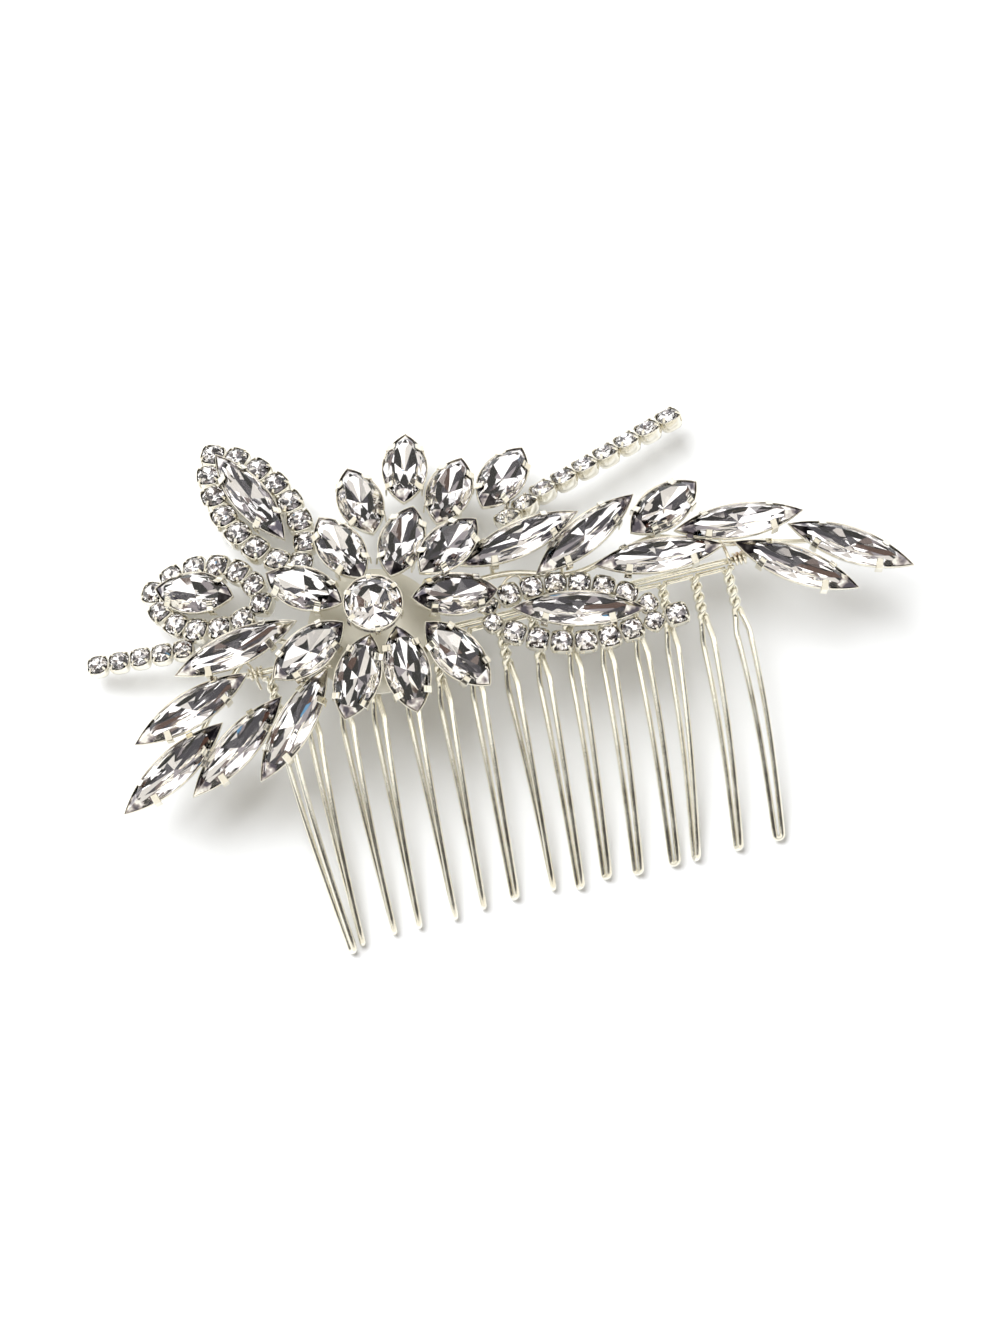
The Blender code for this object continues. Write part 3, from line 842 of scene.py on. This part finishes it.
def build_tooth_wire():
    """One long wire that makes all the teeth in turn, and runs past the outer two."""
    reach = (TOOTH_COUNT - 1) / 2 * TOOTH_PITCH + WIRE_OVERHANG
    path = [SPINE + Vector((-reach, -WIRE_BEHIND_SPINE, 0))]
    for index in range(TOOTH_COUNT):
        path += tooth(index)
    path.append(SPINE + Vector((reach, -WIRE_BEHIND_SPINE, 0)))
    wire = Shape()
    wire.add(*tube(path, WIRE_RADIUS, 12))
    piece("tooth_wire", wire, (WIRE,), ["comb_tooth_wire"], smooth=60)


def build_spine():
    low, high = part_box("comb_spine_wire")
    half = Vector(((high.x - low.x) / MM / 2, 0, 0))
    spine = Shape()
    spine.add(*tube([SPINE - half, SPINE + half], SPINE_RADIUS, 24))
    piece("spine_wire", spine, (WIRE,), ["comb_spine_wire"], smooth=60)


def build_binding(name, turns, both_wires):
    """A coil of thin wire round the spine, or round the spine and the tooth wire."""
    node = f"binding_wire_{name}"
    low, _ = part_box(node)
    clear = BINDING_RADIUS + BINDING_CLEAR
    tall = SPINE_RADIUS + clear
    front = -WIRE_BEHIND_SPINE - WIRE_RADIUS - clear if both_wires else -tall
    first = low.x / MM + BINDING_RADIUS - SPINE.x
    path = []
    for i in range(turns * BINDING_STEPS + 1):
        angle = 2 * pi * i / BINDING_STEPS
        x = first + BINDING_PITCH * i / BINDING_STEPS
        y = (tall + front) / 2 + (tall - front) / 2 * cos(angle)
        path.append(SPINE + Vector((x, y, tall * 1.1 * sin(angle))))
    coil = Shape()
    coil.add(*tube(path, BINDING_RADIUS, 8))
    piece(f"binding_{name}", coil, (COPPERY,), [node], smooth=60)


# Sprays.


def along_crystals(nodes, share, height):
    """A point behind each crystal, at this share of its length from its middle."""
    return [stone_placement(node) @ Vector((stone_size(node)[0] * share, 0, height)) for node in nodes]


def build_spray(side, names, under_crystals=False):
    """The stem of a spray, which runs under its crystals or between their inner tips, and a branch to
    each setting."""
    nodes = [f"stone_{name}" for name in names]
    feet = along_crystals(nodes, FOOT_SHARE, FOOT_HEIGHT)
    start = middle_of("flower_back_plate")
    roots = sorted(along_crystals(nodes, ROOT_SHARE, ROOT_HEIGHT), key=lambda p: (p - start).length)
    start += (roots[0] - start).normalized() * STEM_START
    stops = feet if under_crystals else [(a + b) / 2 for a, b in zip(roots, roots[1:])]
    line = smooth_line([start, *stops])
    stem = Shape()
    stem.add(*tube(line, STEM_RADIUS, 10))
    for foot in feet:
        near = min(line, key=lambda p: (p - foot).length)
        middle = (near + foot) / 2 + BRANCH_SAG
        stem.add(*tube(smooth_line([near, middle, foot]), BRANCH_RADIUS, 8))
    piece(f"{side}_stem", stem, (SILVER,), [f"{side}_spray_frame"], smooth=60)


def build_loose_wire(name, radius, points):
    wire = Shape()
    wire.add(*tube(smooth_line([ORNAMENT @ Vector(p) for p in points]), radius, 10))
    piece(name, wire, (COPPERY,), smooth=60)


# Stage.


def build_floor():
    corners = [(-FLOOR_HALF, -FLOOR_HALF, 0), (FLOOR_HALF, -FLOOR_HALF, 0),
               (FLOOR_HALF, FLOOR_HALF, 0), (-FLOOR_HALF, FLOOR_HALF, 0)]
    data = bpy.data.meshes.new("floor")
    data.from_pydata(corners, [], [(0, 1, 2, 3)])
    made, _, _, shader = new_material("floor_paper")
    shader.inputs["Base Color"].default_value = (0.93, 0.93, 0.93, 1)
    shader.inputs["Roughness"].default_value = 0.9
    data.materials.append(made)
    floor = bpy.data.objects.new("floor", data)
    bpy.context.scene.collection.objects.link(floor)


def chosen(nodes, links, factor, first, second):
    """The first colour where factor is 0 and the second where it is 1; each is a colour or a socket."""
    mix = nodes.new("ShaderNodeMix")
    mix.data_type = "RGBA"
    links.new(factor, mix.inputs["Factor"])
    for name, color in (("A", first), ("B", second)):
        socket = next(s for s in mix.inputs if s.name == name and s.type == "RGBA")
        if isinstance(color, tuple):
            socket.default_value = (*color, 1)
        else:
            links.new(color, socket)
    return next(s for s in mix.outputs if s.type == "RGBA")


def combined(nodes, links, operation, first, second):
    """The result of a math operation on a socket and on either a number or another socket."""
    made = nodes.new("ShaderNodeMath")
    made.operation = operation
    links.new(first, made.inputs[0])
    if isinstance(second, float):
        made.inputs[1].default_value = second
    else:
        links.new(second, made.inputs[1])
    return made.outputs[0]


def within(nodes, links, value, low, high):
    """1 where the value lies between low and high, and 0 elsewhere."""
    above = combined(nodes, links, "GREATER_THAN", value, low)
    below = combined(nodes, links, "LESS_THAN", value, high)
    return combined(nodes, links, "MULTIPLY", above, below)


def patches(nodes, links, direction, scale):
    """A random value for each patch of the room, at this many patches per unit of direction."""
    cells = nodes.new("ShaderNodeTexVoronoi")
    cells.inputs["Scale"].default_value = scale
    links.new(direction, cells.inputs["Vector"])
    value = nodes.new("ShaderNodeSeparateColor")
    links.new(cells.outputs["Color"], value.inputs["Color"])
    return value.outputs["Red"]


def crystal_room(nodes, links, direction, up):
    """The windows, walls and dark furniture that the crystals mirror."""
    room = ramp(nodes, links, patches(nodes, links, direction, ROOM_PATCHES), ROOM_TONES)
    room.node.color_ramp.interpolation = "CONSTANT"
    accents = patches(nodes, links, direction, ACCENT_PATCHES)
    room = chosen(nodes, links, within(nodes, links, accents, ACCENT_FROM, NO_LIMIT), room, ACCENT)
    overhead = within(nodes, links, up, CEILING_FROM, NO_LIMIT)
    return chosen(nodes, links, overhead, room, CEILING)


def metal_room(nodes, links, lean):
    """The smoother room that the metal mirrors."""
    bright = within(nodes, links, lean, *BRIGHT_SIDE_LEANS)
    dark = within(nodes, links, lean, *DARK_SIDE_LEANS)
    return chosen(nodes, links, dark, chosen(nodes, links, bright, PALE_SIDE, BRIGHT_SIDE), DARK_SIDE)


def build_world():
    """A pale room. A ray that reaches it after one mirrored bounce gets the metal's room, because rays
    that enter a crystal bounce again; a diffuse ray comes from a plain surface."""
    world = bpy.data.worlds.new("studio")
    bpy.context.scene.world = world
    world.use_nodes = True
    nodes = world.node_tree.nodes
    links = world.node_tree.links
    direction = nodes.new("ShaderNodeTexCoord").outputs["Generated"]
    axes = nodes.new("ShaderNodeSeparateXYZ")
    links.new(direction, axes.inputs[0])
    lean = combined(nodes, links, "DIVIDE", axes.outputs["Y"], axes.outputs["Z"])
    path = nodes.new("ShaderNodeLightPath")
    first = within(nodes, links, path.outputs["Ray Depth"], *FIRST_BOUNCE)
    on_metal = combined(nodes, links, "MULTIPLY", first, path.outputs["Is Glossy Ray"])
    room = crystal_room(nodes, links, direction, axes.outputs["Z"])
    seen = chosen(nodes, links, on_metal, room, metal_room(nodes, links, lean))
    seen = chosen(nodes, links, path.outputs["Is Diffuse Ray"], seen, EVEN_LIGHT)
    links.new(seen, nodes["Background"].inputs["Color"])


def build_lamp():
    """A soft lamp to the left and behind the comb, which the metal and crystals don't mirror."""
    data = bpy.data.lights.new("key", "AREA")
    data.shape = "RECTANGLE"
    data.size = data.size_y = LAMP_SIDE
    data.energy = LAMP_POWER
    data.color = LAMP_COLOR
    lamp = bpy.data.objects.new("key", data)
    lamp.location = LAMP_PLACE
    lamp.rotation_euler = LAMP_PLACE.to_track_quat("Z", "Y").to_euler()
    lamp.visible_glossy = False
    lamp.visible_transmission = False
    bpy.context.scene.collection.objects.link(lamp)


def build_camera():
    """The camera stands high in front of the teeth, a little to the left."""
    level = cos(CAMERA_ELEVATION)
    forward = Vector((sin(CAMERA_AZIMUTH) * level, cos(CAMERA_AZIMUTH) * level, -sin(CAMERA_ELEVATION)))
    right = Vector((cos(CAMERA_AZIMUTH), -sin(CAMERA_AZIMUTH), 0))
    up = right.cross(forward)
    tilt = ORNAMENT.to_3x3()
    place = ORNAMENT @ (CAMERA_TARGET - forward * CAMERA_DISTANCE)
    turn = Matrix((tilt @ right, tilt @ up, tilt @ -forward)).transposed()
    data = bpy.data.cameras.new("camera")
    data.sensor_fit = "HORIZONTAL"
    data.sensor_width = SENSOR_WIDTH
    data.lens = SENSOR_WIDTH * FOCAL_LENGTH
    data.clip_start = 0.01
    camera = bpy.data.objects.new("camera", data)
    camera.matrix_world = Matrix.Translation(place * MM) @ turn.to_4x4()
    bpy.context.scene.collection.objects.link(camera)
    bpy.context.scene.camera = camera


def main():
    for name in PETALS:
        build_setting(name, name.replace("petal", "petal_cup"))
    for name in LEFT_SPRAY + RIGHT_SPRAY:
        build_setting(name)
    for name in LEAVES:
        build_setting(name, f"{name}_cup")
    build_spray("left", LEFT_SPRAY, under_crystals=True)
    build_spray("right", RIGHT_SPRAY)
    center = stone_placement("stone_flower_center")
    build_center(center)
    build_back_plate(center)
    for node in CHAINS:
        build_chain(node)
    build_tooth_wire()
    build_spine()
    for binding in BINDINGS:
        build_binding(*binding)
    for wire in LOOSE_WIRES:
        build_loose_wire(*wire)
    build_floor()
    build_world()
    build_lamp()
    bpy.context.scene.view_settings.view_transform = "Standard"
    build_camera()


main()
